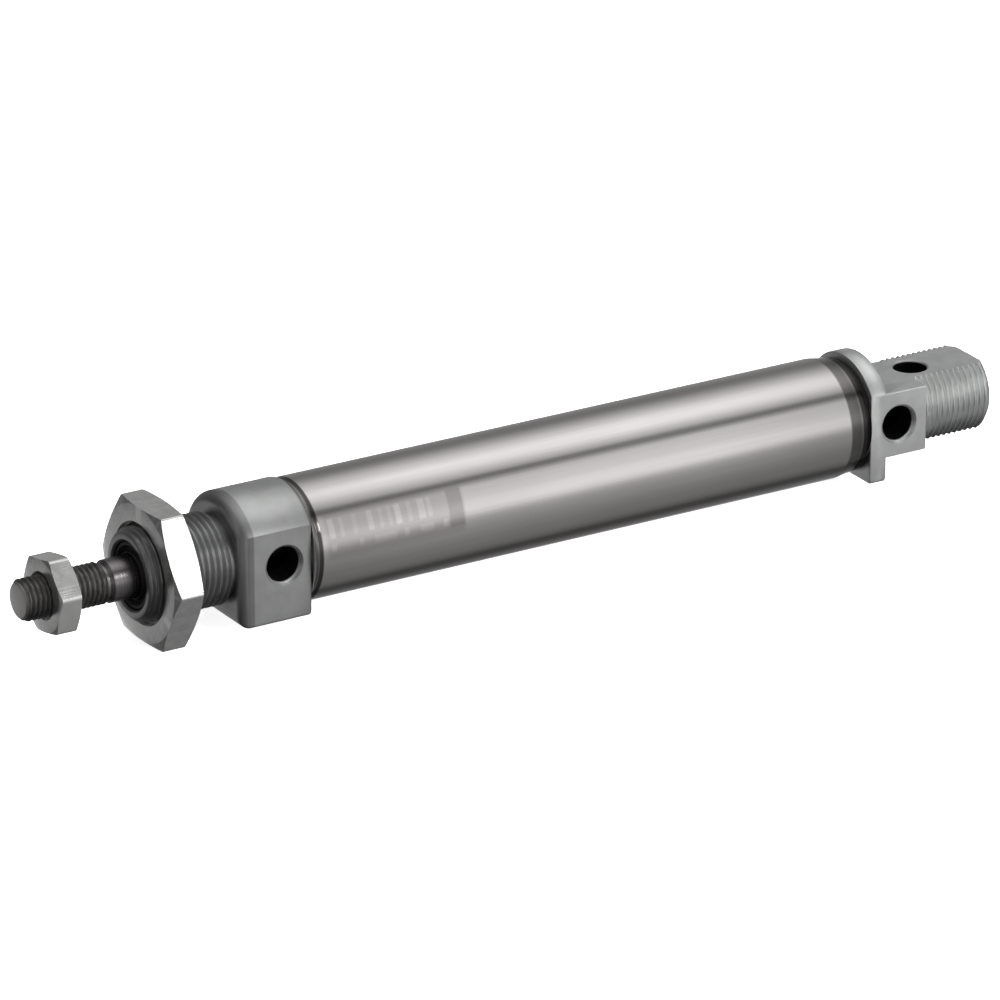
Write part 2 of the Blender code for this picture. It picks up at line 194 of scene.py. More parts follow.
def finish_piece(piece, body, material, nodes, angle=32.0):
    """Shade a piece, sharp at edges past an angle in degrees. It rides a body in place of CAD nodes."""
    piece.data.shade_smooth()
    piece.data.set_sharp_from_angle(angle=math.radians(angle))
    piece.data.materials.clear()
    piece.data.materials.append(material)
    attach(piece, body)
    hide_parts(*nodes)


# Sections

def thread_radius(spec, fade_end=None):
    """Radius of a right-hand 60 degree thread with flat crests and roots, fading out over its last turn."""
    major, pitch, depth = spec

    def radius(x, angle):
        phase = (x / pitch - angle / (2 * math.pi)) % 1.0
        climb = abs(phase - 0.5) * 2.0
        cut = min(max((climb - 0.14) / 0.62, 0.0), 1.0)
        strength = 1.0
        if fade_end is not None:
            strength = min(strength, max((fade_end - x) / pitch, 0.0))
        return major - depth * cut * strength
    return radius


def thread_rows(start, end, spec, per_pitch=10, cone=None, fade_end=None):
    """Rows from start to end. cone(x) limits the radius, for a chamfered entry."""
    cut = thread_radius(spec, fade_end)
    count = max(2, round((end - start) / spec[1] * per_pitch))

    def limited(x, angle):
        return min(cut(x, angle), cone(x)) if cone else cut(x, angle)
    return [(start + (end - start) * i / count, limited) for i in range(count + 1)]


def groove_rows(centre):
    """O-ring groove cut in a spigot."""
    front, back = centre - GROOVE_HALF, centre + GROOVE_HALF
    return [(front, SPIGOT_R), (front, GROOVE_R), (back, GROOVE_R), (back, SPIGOT_R)]


def arc_rows(centre_x, centre_r, radius, start, end, count=5):
    """Rounded edge of a turned section, angles in degrees from +X towards the outside."""
    rows = []
    for i in range(count + 1):
        angle = math.radians(start + (end - start) * i / count)
        rows.append((centre_x + radius * math.cos(angle), centre_r + radius * math.sin(angle)))
    return rows


def cover_outline(inset, arc_steps=96, corner_steps=6):
    """Outline in Y and Z: round top, flat port side, squared foot with small round corners."""
    radius = COVER_R - inset
    side = -PORT_FACE - inset
    foot = -FOOT_Z - inset
    corner = max(0.9 * MM - 0.25 * inset, 0.15 * MM)
    points = []
    for centre_y, first in ((corner - side, math.pi), (side - corner, 1.5 * math.pi)):
        for i in range(corner_steps + 1):
            angle = first + math.pi / 2 * i / corner_steps
            points.append((centre_y + corner * math.cos(angle), corner - foot + corner * math.sin(angle)))
    low = -math.acos(side / radius)
    for i in range(arc_steps + 1):
        angle = low + math.pi * i / arc_steps
        points.append((radius * math.cos(angle), radius * math.sin(angle)))
    return points


def lofted(name, sections):
    """Skin through sections (x, outline), capped at both ends."""
    verts, faces = [], []
    count = len(sections[0][1])
    for x, outline in sections:
        verts.extend((x, y, z) for y, z in outline)
    for row in range(len(sections) - 1):
        for i in range(count):
            j = (i + 1) % count
            a, b = row * count, (row + 1) * count
            faces.append((a + i, a + j, b + j, b + i))
    faces.append(tuple(range(count)))
    faces.append(tuple(range(len(verts) - count, len(verts))))
    return mesh_from(name, verts, faces)


def box_outline(y_low, y_high, z_half, corner, corner_steps=5):
    """Rectangle in Y and Z with round corners, even about Z = 0."""
    points = []
    middles = ((y_high - corner, z_half - corner), (y_low + corner, z_half - corner),
               (y_low + corner, corner - z_half), (y_high - corner, corner - z_half))
    for quarter, (y, z) in enumerate(middles):
        for i in range(corner_steps + 1):
            angle = math.pi / 2 * (quarter + i / corner_steps)
            points.append((y + corner * math.cos(angle), z + corner * math.sin(angle)))
    return points


# Pieces

def port_cutter(station):
    """Threaded port with a chamfered mouth, drilled in from the port face to the chamber."""
    reach = -PORT_FACE
    mouth = reach - 0.45 * MM
    bottom = 5.0 * MM
    rows = [(bottom, 0.0), (bottom, PORT_R)]
    rows += thread_rows(bottom + 0.3 * MM, mouth, G_EIGHTH, per_pitch=8)
    rows += [(reach + MM, G_EIGHTH[0] + 1.2 * MM), (reach + MM, 0.0)]
    return stood_along(turned("port", rows, steps=64), "Z", (station, 0.0, 0.0))


def make_front_cover(material):
    """Front cover: body with a rounded front edge, threaded nose, spigot, bores and port."""
    fillet = 2.5 * MM
    sections = []
    for i in range(13):
        angle = math.pi / 2 * i / 12
        inset = fillet * (1.0 - math.sin(angle))
        sections.append((FACE + fillet * (1.0 - math.cos(angle)), cover_outline(inset)))
    for x, inset in ((17.7, 0.0), (18.05, 0.12), (18.3, 0.42)):
        sections.append((FACE + x * MM, cover_outline(inset * MM)))
    cover = add_object("front_cover_body", lofted("front_cover_body", sections))
    nose_end = FACE - 1.4 * MM
    neck_r = 9.95 * MM
    wiper_seat = FACE - 16.5 * MM
    bush_r = 6.6 * MM
    rod_hole_r = 5.3 * MM
    spigot_end = TUBE_START + SPIGOT_LENGTH
    past_spigot = spigot_end + MM

    def entry(x):
        return 9.75 * MM + (x - NOSE_TIP)

    rows = [(NOSE_TIP, 0.0), (NOSE_TIP, 9.6 * MM), (NOSE_TIP + 0.06 * MM, 9.75 * MM)]
    rows += thread_rows(NOSE_TIP + 0.12 * MM, nose_end, M22, cone=entry, fade_end=nose_end + MM)
    rows += [(nose_end + 0.3 * MM, neck_r), (FACE + 4.0 * MM, neck_r), (FACE + 5.0 * MM, SPIGOT_NECK_R),
             (TUBE_START, SPIGOT_NECK_R), (TUBE_START, SPIGOT_R)]
    rows += groove_rows(FRONT_BODY_END + 5.6 * MM)
    rows += [(spigot_end, SPIGOT_R), (spigot_end, 0.0)]
    combine(cover, turned("core", rows), "UNION")
    bores = [
        (NOSE_TIP - MM, 0.0), (NOSE_TIP - MM, RECESS_R + 1.5 * MM),
        (NOSE_TIP + 0.5 * MM, RECESS_R), (wiper_seat, RECESS_R),
        (wiper_seat, bush_r), (FACE - MM, bush_r), (FACE - MM, rod_hole_r),
        (FACE + 1.5 * MM, rod_hole_r), (FACE + 1.5 * MM, CHAMBER_R),
        (past_spigot, CHAMBER_R), (past_spigot, 0.0),
    ]
    combine(cover, turned("bores", bores, steps=96), "DIFFERENCE")
    combine(cover, port_cutter(FRONT_PORT), "DIFFERENCE")
    finish_piece(cover, "barrel", material, ["front_cover"])


def make_rear_cover(material):
    """Rear cover: flange, port block, threaded stud with two flats, spigot, chamber, port and pin hole."""
    flange = lofted("rear_cover_body", [
        (FLANGE_START + x * MM, cover_outline(inset * MM)) for x, inset in (
            (0.0, 0.45), (0.12, 0.15), (0.4, 0.0), (4.1, 0.0), (4.38, 0.12), (4.5, 0.4),
        )
    ])
    cover = add_object("rear_cover_body", flange)
    spigot_start = TUBE_END - SPIGOT_LENGTH
    thread_start = BOSS_END - 0.6 * MM
    neck_r = 10.45 * MM
    half = 7.99 * MM
    bevel = 0.3 * MM

    def entry(x):
        return min(9.4 * MM + 0.9 * (REAR_END - x), M22[0])

    rows = [(spigot_start, 0.0), (spigot_start, SPIGOT_R)]
    rows += groove_rows(TUBE_END - 5.2 * MM)
    rows += [(TUBE_END, SPIGOT_R), (TUBE_END, SPIGOT_NECK_R), (FLANGE_START + 2.0 * MM, SPIGOT_NECK_R),
             (FLANGE_START + 2.6 * MM, neck_r), (thread_start, neck_r)]
    rows += thread_rows(thread_start + 0.15 * MM, REAR_END - 0.15 * MM, M22, cone=entry)
    rows += [(REAR_END - 0.05 * MM, 9.35 * MM), (REAR_END, 9.1 * MM), (REAR_END, 0.0)]
    combine(cover, turned("stem", rows, steps=192), "UNION")
    boss = lofted("boss", [
        (FLANGE_START + 3.0 * MM, box_outline(PORT_FACE, 0.0, half, bevel)),
        (BOSS_END - bevel, box_outline(PORT_FACE, 0.0, half, bevel)),
        (BOSS_END, box_outline(PORT_FACE + bevel, -bevel, half - bevel, bevel)),
    ])
    combine(cover, boss, "UNION")
    for side in (-1, 1):
        low = (FLANGE_END, -16 * MM, min(side * FLAT_Z, side * 16 * MM))
        high = (REAR_END + MM, 16 * MM, max(side * FLAT_Z, side * 16 * MM))
        combine(cover, box_mesh("flat", low, high), "DIFFERENCE")
    chamber_end = FLANGE_START + 12.5 * MM
    chamber = [(spigot_start - MM, 0.0), (spigot_start - MM, CHAMBER_R),
               (chamber_end, CHAMBER_R), (chamber_end, 0.0)]
    combine(cover, turned("chamber", chamber, steps=96), "DIFFERENCE")
    combine(cover, port_cutter(REAR_PORT), "DIFFERENCE")
    past, mouth = 9.5 * MM, 7.6 * MM
    flared = PIN_R + past - mouth
    pin = [(-past, 0.0), (-past, flared), (-mouth, PIN_R), (mouth, PIN_R), (past, flared), (past, 0.0)]
    pin_hole = stood_along(turned("pin", pin, steps=96), "Y", (PIN_HOLE, 0.0, 0.0))
    combine(cover, pin_hole, "DIFFERENCE")
    finish_piece(cover, "barrel", material, ["rear_cover"])


def make_tube(material):
    """Drawn tube, its ends drawn down in a shallow cone and rolled in over the covers.

    Each end has a rolled length and drop, then a cone that is 4.2 mm long at the rear.
    """
    rows = []
    for edge, inward, length, drop, cone in ((TUBE_START, 1, 0.9, 0.75, 0.8), (TUBE_END, -1, 2.3, 0.7, 4.2)):
        waist = TUBE_R - 0.14 * cone * MM
        side = []
        for i in range(13):
            turn = math.pi / 2 * (1.0 - i / 12)
            x = edge + inward * length * MM * (1.0 - math.sin(turn))
            side.append((x, waist - drop * MM * (1.0 - math.cos(turn))))
        for x, share in ((0.3, 0.05), (0.8, 0.2), (0.92, 0.235), (1.0, 0.25)):
            side.append((edge + inward * (length + cone * x) * MM, waist + (TUBE_R - waist) * share * 4.0))
        rows += side if inward > 0 else side[::-1]
    rows += [(TUBE_END, BORE_R), (TUBE_START, BORE_R)]
    tube = add_object("barrel_tube_shell", turned("barrel_tube_shell", rows, steps=192, closed=True))
    finish_piece(tube, "barrel", material, ["barrel_tube"])


def make_nut(name, node, body, across_flats, hole_r, corner_at, corner_round, material):
    """Hexagon nut, its faces turned to a chamfer. One corner stands corner_at degrees above -Y."""
    (start, _, _), (end, _, _) = NODES[node]
    corner_r = across_flats / math.sqrt(3.0)
    arc_r = corner_r - corner_round / math.sin(math.radians(60.0))
    outline = []
    for i in range(6):
        middle = math.radians(60.0 * i - corner_at)
        for j in range(5):
            angle = middle + math.radians(15.0 * (j - 2))
            outline.append((arc_r * math.cos(middle) + corner_round * math.cos(angle),
                            arc_r * math.sin(middle) + corner_round * math.sin(angle)))
    nut = add_object(name, lofted(name, [(start - MM, outline), (end + MM, outline)]))
    face_r = 0.505 * across_flats
    slope = math.tan(math.radians(18.0))
    outer_r = corner_r + 0.5 * MM
    rise = (outer_r - face_r) * slope
    mouth = 0.03 * across_flats
    edge = 0.12 * MM
    eased = (0.3 * edge, face_r + 0.2 * edge)
    section = [
        (start + mouth, hole_r), (start, hole_r + mouth),
        (start, face_r - edge), (start + eased[0], eased[1]), (start + rise, outer_r),
        (end - rise, outer_r), (end - eased[0], eased[1]), (end, face_r - edge),
        (end, hole_r + mouth), (end - mouth, hole_r),
    ]
    combine(nut, turned("blank", section, steps=192, closed=True), "INTERSECT")
    finish_piece(nut, body, material, [node], angle=20.0)


def make_rod(material):
    """Ground rod with its M10 thread and the shank that carries the piston."""
    (tip, _, _), (shank_end, _, _) = NODES["piston_rod"]
    thread_end = ROD_THREAD_END
    shoulder = NODES["piston_front_half"][0][0] - 0.3 * MM
    rod_r, shank_r, undercut_r = 5.0 * MM, 4.0 * MM, 4.25 * MM

    def entry(x):
        return 3.95 * MM + (x - tip)

    rows = [(tip, 0.0), (tip, 3.75 * MM), (tip + 0.05 * MM, 3.95 * MM)]
    rows += thread_rows(tip + 0.1 * MM, thread_end, M10, cone=entry, fade_end=thread_end + 0.6 * MM)
    rows += [(thread_end + 0.3 * MM, undercut_r), (thread_end + 0.9 * MM, undercut_r),
             (thread_end + 1.5 * MM, rod_r - 0.15 * MM), (thread_end + 1.7 * MM, rod_r),
             (shoulder, rod_r), (shoulder, shank_r), (shank_end - 0.4 * MM, shank_r),
             (shank_end, shank_r - 0.4 * MM), (shank_end, 0.0)]
    rod = add_object("piston_rod_ground", turned("piston_rod_ground", rows, steps=96))
    finish_piece(rod, "rod", material, ["piston_rod"])


def make_wiper(material):
    """Rod seal and wiper: a moulded ring whose lip stands forward round the rod."""
    (front, _, _), (back, _, _) = NODES["rod_wiper_seal"]
    inner = 5.08 * MM
    outer = 7.88 * MM
    face = front + 0.2 * MM
    section = [(back, inner), (back, outer)]
    section += arc_rows(face + 0.3 * MM, outer - 0.3 * MM, 0.3 * MM, 90, 180)
    section += [(face, outer - 0.9 * MM), (face + 0.5 * MM, outer - 1.3 * MM),
                (face + 0.9 * MM, inner + 1.15 * MM), (face + 0.7 * MM, inner + 0.75 * MM)]
    section += arc_rows(front + 0.18 * MM, inner + 0.22 * MM, 0.18 * MM, 90, 250)
    section += [(front + 0.5 * MM, inner)]
    seal = add_object("rod_wiper_lip", turned("rod_wiper_lip", section, closed=True))
    finish_piece(seal, "barrel", material, ["rod_wiper_seal"])


# Materials

class Nodes:
    """Short hand for building one node tree."""

    def __init__(self, name, base, metallic, roughness):
        self.material = bpy.data.materials.new(name)
        self.material.use_nodes = True
        self.tree = self.material.node_tree
        self.shader = self.tree.nodes["Principled BSDF"]
        self.shader.inputs["Base Color"].default_value = (*base, 1.0)
        self.shader.inputs["Metallic"].default_value = metallic
        self.shader.inputs["Roughness"].default_value = roughness
        self.place = self.add("ShaderNodeTexCoord").outputs["Object"]

    def add(self, kind, **settings):
        node = self.tree.nodes.new(kind)
        for name, value in settings.items():
            setattr(node, name, value)
        return node

    def link(self, output, socket):
        if hasattr(output, "is_linked"):
            self.tree.links.new(output, socket)
        else:
            socket.default_value = output

    def scaled(self, scale):
        node = self.add("ShaderNodeMapping")
        node.inputs["Scale"].default_value = scale
        self.link(self.place, node.inputs["Vector"])
        return node.outputs["Vector"]

    def noise(self, scale, detail=3.0, stretch=(1.0, 1.0, 1.0)):
        node = self.add("ShaderNodeTexNoise")
        node.inputs["Scale"].default_value = scale
        node.inputs["Detail"].default_value = detail
        self.link(self.scaled(stretch), node.inputs["Vector"])
        return node.outputs["Fac"]

    def math(self, operation, first, second=0.0, clamp=False):
        node = self.add("ShaderNodeMath", operation=operation, use_clamp=clamp)
        for value, socket in zip((first, second), node.inputs):
            self.link(value, socket)
        return node.outputs[0]

    def remap(self, value, low, high, to_low, to_high):
        """Carry low..high over to to_low..to_high, held at both ends."""
        node = self.add("ShaderNodeMapRange")
        self.link(value, node.inputs["Value"])
        for name, number in zip(("From Min", "From Max", "To Min", "To Max"), (low, high, to_low, to_high)):
            node.inputs[name].default_value = number
        return node.outputs["Result"]

    def mix(self, factor, first, second):
        node = self.add("ShaderNodeMix", data_type="RGBA")
        self.link(factor, node.inputs[0])
        for value, socket in ((first, node.inputs[6]), (second, node.inputs[7])):
            if isinstance(value, tuple):
                value = (*value, 1.0)
            self.link(value, socket)
        return node.outputs[2]

    def bump(self, height, distance, strength=1.0, normal=None):
        node = self.add("ShaderNodeBump")
        node.inputs["Strength"].default_value = strength
        node.inputs["Distance"].default_value = distance
        self.link(height, node.inputs["Height"])
        if normal is not None:
            self.link(normal, node.inputs["Normal"])
        return node.outputs["Normal"]

    def axis_values(self):
        node = self.add("ShaderNodeSeparateXYZ")
        self.link(self.place, node.inputs[0])
        return node.outputs

    def edges(self):
        """1 on raised edges, 0 in hollows, about 0.5 on flats."""
        return self.add("ShaderNodeNewGeometry").outputs["Pointiness"]

    def surface(self, colour=None, roughness=None, normal=None):
        for value, name in ((colour, "Base Color"), (roughness, "Roughness"), (normal, "Normal")):
            if value is not None:
                self.link(value, self.shader.inputs[name])
        return self.material


def band(nodes, value, low, high, soft):
    """1 where value lies between low and high, with soft edges."""
    up = nodes.remap(value, low - soft, low + soft, 0.0, 1.0)
    down = nodes.remap(value, high - soft, high + soft, 1.0, 0.0)
    return nodes.math("MULTIPLY", up, down)


def distance(nodes, first, second):
    """Distance from a line, given the two coordinates across it."""
    squares = nodes.math("ADD", nodes.math("POWER", first, 2.0), nodes.math("POWER", second, 2.0))
    return nodes.math("SQRT", squares)


def inside(nodes, first, second, centre, radius):
    """1 within a radius of a line whose first coordinate is centre and whose second is 0."""
    away = distance(nodes, nodes.math("SUBTRACT", first, centre), second)
    return nodes.remap(away, radius, radius + 0.25 * MM, 1.0, 0.0)


def tube_metal():
    """Drawn stainless tube: fine lines along it, faint clouds, a plain bar mark, and painted shade at its
    rolled ends.
    """
    nodes = Nodes("drawn_tube_metal", (0.80, 0.775, 0.765), 1.0, 0.17)
    lines = nodes.noise(2600.0, 4.0, (0.006, 1.0, 1.0))
    coarse_lines = nodes.noise(700.0, 2.0, (0.01, 1.0, 1.0))
    cloud = nodes.noise(60.0, 4.0, (0.5, 1.0, 1.0))
    tint = nodes.mix(nodes.remap(cloud, 0.35, 0.65, 0.0, 1.0), (0.77, 0.745, 0.735), (0.82, 0.797, 0.787))
    tint = nodes.mix(nodes.remap(coarse_lines, 0.3, 0.7, 0.0, 0.35), tint, (0.70, 0.68, 0.66))
    x, y, z = nodes.axis_values()
    around = nodes.math("ARCTAN2", z, nodes.math("MULTIPLY", y, -1.0))
    up = nodes.math("MULTIPLY", around, TUBE_R)
    label, bars, box = bar_mark(nodes, x, up)
    tint = nodes.mix(nodes.math("MULTIPLY", label, 0.5), tint, (0.50, 0.475, 0.465))
    tint = nodes.mix(nodes.math("MULTIPLY", bars, 0.6), tint, (0.92, 0.90, 0.89))
    tint = nodes.mix(nodes.math("MULTIPLY", box, 0.45), tint, (0.34, 0.325, 0.32))
    # Painted shade: the colour darkens over the rear cone towards the rolled rear end.
    cone = nodes.remap(x, TUBE_END - 6.7 * MM, TUBE_END - 6.1 * MM, 0.0, 0.3)
    cone = nodes.math("ADD", cone, nodes.remap(x, TUBE_END - 5.2 * MM, TUBE_END - 3.4 * MM, 0.0, 0.4))
    tint = nodes.mix(cone, tint, (0.26, 0.25, 0.245))
    # Painted shade: a dark band over the last 2.5 mm of the rear lip and a dark line at the front crease,
    # where the tube turns in against the covers.
    lip = nodes.remap(x, TUBE_END - 2.9 * MM, TUBE_END - 2.5 * MM, 0.0, 0.97)
    front_crease_shade = band(nodes, x, TUBE_START + 0.5 * MM, TUBE_START + 1.6 * MM, 0.2 * MM)
    front_crease_shade = nodes.math("MULTIPLY", front_crease_shade, 0.85)
    tint = nodes.mix(nodes.math("MAXIMUM", lip, front_crease_shade), tint, (0.06, 0.057, 0.055))
    rough = nodes.remap(lines, 0.3, 0.7, 0.12, 0.19)
    normal = nodes.bump(lines, 0.00001, 0.35)
    return nodes.surface(tint, rough, normal)


def bar_mark(nodes, x, up):
    """Masks of a faint label with two rows of plain bars and a box, in place of printed words.

    Each bar is its start and end along the label in mm, and how strong it is.
    """
    start = FACE + 21.5 * MM
    degree = TUBE_R * math.radians(1.0)
    label = nodes.math("MULTIPLY", band(nodes, x, start, start + 36.0 * MM, 0.6 * MM),
                       band(nodes, up, -2 * degree, 40 * degree, 0.8 * MM))
    tall = band(nodes, up, 17 * degree, 35 * degree, 0.3 * MM)
    low = band(nodes, up, 5 * degree, 12 * degree, 0.3 * MM)
    tall_bars = (
        (0.8, 2.3, 0.9), (3.7, 4.7, 0.5), (7.0, 8.2, 0.35), (11.0, 12.4, 0.7), (14.0, 15.0, 0.4),
        (16.3, 17.2, 0.4), (18.2, 19.7, 1.0), (21.4, 22.5, 0.45), (24.2, 26.0, 0.8), (26.6, 27.7, 0.6),
    )
    low_bars = (
        (0.8, 2.3, 0.7), (8.2, 9.2, 0.5), (12.2, 18.0, 0.45), (20.0, 21.2, 0.7), (24.2, 27.7, 0.55),
        (30.2, 31.4, 0.8),
    )
    bars = None
    for row, spans in ((tall, tall_bars), (low, low_bars)):
        for first, last, strength in spans:
            span = band(nodes, x, start + first * MM, start + last * MM, 0.25 * MM)
            bar = nodes.math("MULTIPLY", nodes.math("MULTIPLY", row, span), strength)
            bars = bar if bars is None else nodes.math("ADD", bars, bar, clamp=True)
    box = nodes.math("MULTIPLY", band(nodes, x, start + 32.0 * MM, start + 35.8 * MM, 0.25 * MM),
                     band(nodes, up, 3 * degree, 37 * degree, 0.3 * MM))
    return label, bars, box


def bore_shade(nodes, x, y, z):
    """1 in the ports, the pin hole and the nose's recess, where little light reaches."""
    port_r = 4.9 * MM
    ports = nodes.math("ADD", inside(nodes, x, z, FRONT_PORT, port_r), inside(nodes, x, z, REAR_PORT, port_r))
    sunk = nodes.remap(y, PORT_FACE + 0.5 * MM, PORT_FACE + 1.2 * MM, 0.0, 1.0)
    port_side = nodes.remap(y, -4.5 * MM, -3.5 * MM, 1.0, 0.0)
    ports = nodes.math("MULTIPLY", ports, nodes.math("MULTIPLY", sunk, port_side))
    between_flats = nodes.remap(nodes.math("ABSOLUTE", z), 7.5 * MM, 7.9 * MM, 1.0, 0.0)
    pin = nodes.math("MULTIPLY", inside(nodes, x, y, PIN_HOLE, PIN_R + 0.1 * MM), between_flats)
    recess = nodes.math("MULTIPLY", inside(nodes, y, z, 0.0, RECESS_R + 0.1 * MM),
                        nodes.remap(x, NOSE_TIP + 0.2 * MM, NOSE_TIP + 1.2 * MM, 0.3, 1.0))
    recess = nodes.math("MULTIPLY", recess, nodes.remap(x, FACE, FACE + MM, 1.0, 0.0))
    return nodes.math("MAXIMUM", nodes.math("MAXIMUM", ports, pin), recess)


def cover_metal(name, shade):
    """Grey anodised casting: fine blasted grain, soft clouds, brighter worn edges, and painted shade in
    hollows, in the bores and over the front end of the front cover.
    """
    nodes = Nodes(name, (shade, shade, shade), 0.92, 0.36)
    dull = (0.94 * shade, 0.96 * shade, 0.945 * shade)
    light = (1.05 * shade, 1.07 * shade, 1.055 * shade)
    x, y, z = nodes.axis_values()
    grain = nodes.noise(4200.0, 2.0)
    clouds = nodes.noise(240.0, 5.0)
    tint = nodes.mix(nodes.remap(clouds, 0.35, 0.65, 0.0, 1.0), dull, light)
    edge = nodes.remap(nodes.edges(), 0.53, 0.62, 0.0, 0.45)
    tint = nodes.mix(edge, tint, (1.2 * shade, 1.21 * shade, 1.2 * shade))
    # Painted shade: darker where the surface is hollow, as in inside corners.
    hollow_shade = nodes.remap(nodes.edges(), 0.40, 0.48, 0.7, 0.0)
    tint = nodes.mix(hollow_shade, tint, (0.16, 0.16, 0.16))
    dark = bore_shade(nodes, x, y, z)
    # Painted shade: the nose and the rounded front edge, up to 3.4 mm behind the front face, are darkened.
    front_end_shade = nodes.remap(x, FACE + 3.2 * MM, FACE + 3.6 * MM, 0.6, 0.0)
    tint = nodes.mix(front_end_shade, tint, (0.20, 0.20, 0.202))
    # Painted shade in the ports, the pin hole and the nose's recess.
    tint = nodes.mix(dark, tint, (0.012, 0.012, 0.012))
    rough = nodes.remap(grain, 0.3, 0.7, 0.30, 0.40)
    rough = nodes.math("ADD", rough, nodes.math("MULTIPLY", dark, 0.35))
    normal = nodes.bump(grain, 0.00004, 0.3)
    normal = nodes.bump(clouds, 0.00010, 0.15, normal)
    return nodes.surface(tint, rough, normal)


def nut_steel():
    """Zinc plated turned steel: faint turning lines on the faces, brighter edges."""
    nodes = Nodes("zinc_nut_steel", (0.62, 0.625, 0.615), 0.85, 0.2)
    x, y, z = nodes.axis_values()
    waves = nodes.math("SINE", nodes.math("MULTIPLY", distance(nodes, y, z), 2 * math.pi / (0.22 * MM)))
    clouds = nodes.noise(420.0, 5.0)
    grain = nodes.noise(4000.0, 2.0)
    tint = nodes.mix(nodes.remap(clouds, 0.35, 0.65, 0.0, 1.0), (0.56, 0.568, 0.558), (0.67, 0.678, 0.668))
    edge = nodes.remap(nodes.edges(), 0.52, 0.60, 0.0, 0.7)
    tint = nodes.mix(edge, tint, (0.82, 0.82, 0.80))
    rough = nodes.remap(clouds, 0.3, 0.7, 0.15, 0.25)
    normal = nodes.bump(waves, 0.000006, 0.5)
    normal = nodes.bump(grain, 0.00002, 0.25, normal)
    return nodes.surface(tint, rough, normal)


def rod_chrome():
    """Hard chrome with hair lines round it, its base darkened as painted shade for the dark surroundings it
    reflects; darker and oily in the thread, partly painted shade.
    """
    # Painted shade: the chrome's base colour is darkened to stand in for the dark surroundings it reflects.
    chrome = (0.30, 0.28, 0.285)
    nodes = Nodes("hard_chrome_rod", chrome, 1.0, 0.25)
    x, y, z = nodes.axis_values()
    rings = nodes.noise(3000.0, 2.0, (1.0, 0.02, 0.02))
    thread = nodes.remap(x, ROD_THREAD_END, ROD_THREAD_END + 0.6 * MM, 1.0, 0.0)
    clouds = nodes.noise(500.0, 4.0)
    # The thread's colour is oil and painted shade together.
    oil_and_shade = nodes.mix(nodes.remap(clouds, 0.35, 0.65, 0.0, 1.0), (0.24, 0.235, 0.23), (0.36, 0.35, 0.345))
    tint = nodes.mix(thread, chrome, oil_and_shade)
    tip = NODES["piston_rod"][0][0]
    tint = nodes.mix(nodes.remap(x, tip + 0.2 * MM, tip + 0.6 * MM, 1.0, 0.0), tint, (0.66, 0.65, 0.64))
    rough = nodes.remap(rings, 0.3, 0.7, 0.20, 0.30)
    rough = nodes.math("ADD", rough, nodes.math("MULTIPLY", thread, 0.2))
    normal = nodes.bump(rings, 0.000004, 0.4)
    return nodes.surface(tint, rough, normal)


def seal_rubber():
    """Black moulded rubber with a dry sheen and dust in its pores."""
    nodes = Nodes("black_seal_rubber", (0.02, 0.02, 0.023), 0.0, 0.55)
    pores = nodes.noise(3500.0, 3.0)
    dust = nodes.noise(350.0, 5.0)
    tint = nodes.mix(nodes.remap(dust, 0.45, 0.75, 0.0, 0.5), (0.010, 0.008, 0.010), (0.030, 0.024, 0.029))
    rough = nodes.remap(pores, 0.3, 0.7, 0.45, 0.65)
    return nodes.surface(tint, rough, nodes.bump(pores, 0.00003, 0.4))


def plain_grain(name, dark, light, metallic, low, high):
    """Grained finish for a piece inside the barrel, its roughness between low and high."""
    nodes = Nodes(name, light, metallic, (low + high) / 2)
    clouds = nodes.noise(900.0, 5.0)
    grain = nodes.noise(4500.0, 2.0)
    tint = nodes.mix(nodes.remap(clouds, 0.35, 0.65, 0.0, 1.0), dark, light)
    rough = nodes.remap(grain, 0.3, 0.7, low, high)
    return nodes.surface(tint, rough, nodes.bump(grain, 0.00002, 0.3))


def dress_nodes(names, material):
    """Give CAD nodes that stay as they are a better finish."""
    for name in names:
        node = bpy.data.objects[name]
        for slot in node.material_slots:
            slot.material = material


# Surroundings

def floor_material():
    """Near-white sheet that glows a little, so that it stays pale behind the cylinder."""
    nodes = Nodes("pale_floor", (0.93, 0.93, 0.93), 0.0, 0.9)
    speck = nodes.noise(35.0, 3.0)
    tint = nodes.mix(nodes.remap(speck, 0.3, 0.7, 0.0, 1.0), (0.925, 0.925, 0.925), (0.94, 0.94, 0.94))
    nodes.shader.inputs["Emission Color"].default_value = (1.0, 1.0, 1.0, 1.0)
    nodes.shader.inputs["Emission Strength"].default_value = 0.85
    return nodes.surface(tint)


def make_floor():
    """A pale sheet under the cylinder, curving up behind it."""
    level = CAD_BOX[0][2] - 0.05 * MM
    depth_points = [(-3.0, 0.0), (2.0, 0.0)]
    for i in range(1, 13):
        angle = math.pi / 2 * i / 12
        depth_points.append((2.0 + math.sin(angle), 1.0 - math.cos(angle)))
    depth_points.append((3.0, 4.0))
    verts = [(x, y, level + z) for y, z in depth_points for x in (-4.0, 4.0)]
    faces = [(2 * i, 2 * i + 1, 2 * i + 3, 2 * i + 2) for i in range(len(depth_points) - 1)]
    floor = add_object("studio_floor", mesh_from("studio_floor", verts, faces))
    floor.data.shade_smooth()
    floor.data.materials.append(floor_material())
    floor.visible_glossy = False
    floor.visible_diffuse = False


def area_light(name, place, aim, size_x, size_y, power, in_reflections=False):
    """Rectangular light at a place, facing an aim point, long side level."""
    back = (place - aim).normalized()
    right = (Vector((1.0, 0.0, 0.0)) - back * back.x).normalized()
    up = back.cross(right)
    data = bpy.data.lights.new(name, "AREA")
    data.shape = "RECTANGLE"
    data.size = size_x
    data.size_y = size_y
    data.energy = power
    light = bpy.data.objects.new(name, data)
    light.matrix_world = Matrix.Translation(place) @ Matrix((right, up, back)).transposed().to_4x4()
    light.visible_glossy = in_reflections
    light.visible_camera = False
    bpy.context.scene.collection.objects.link(light)


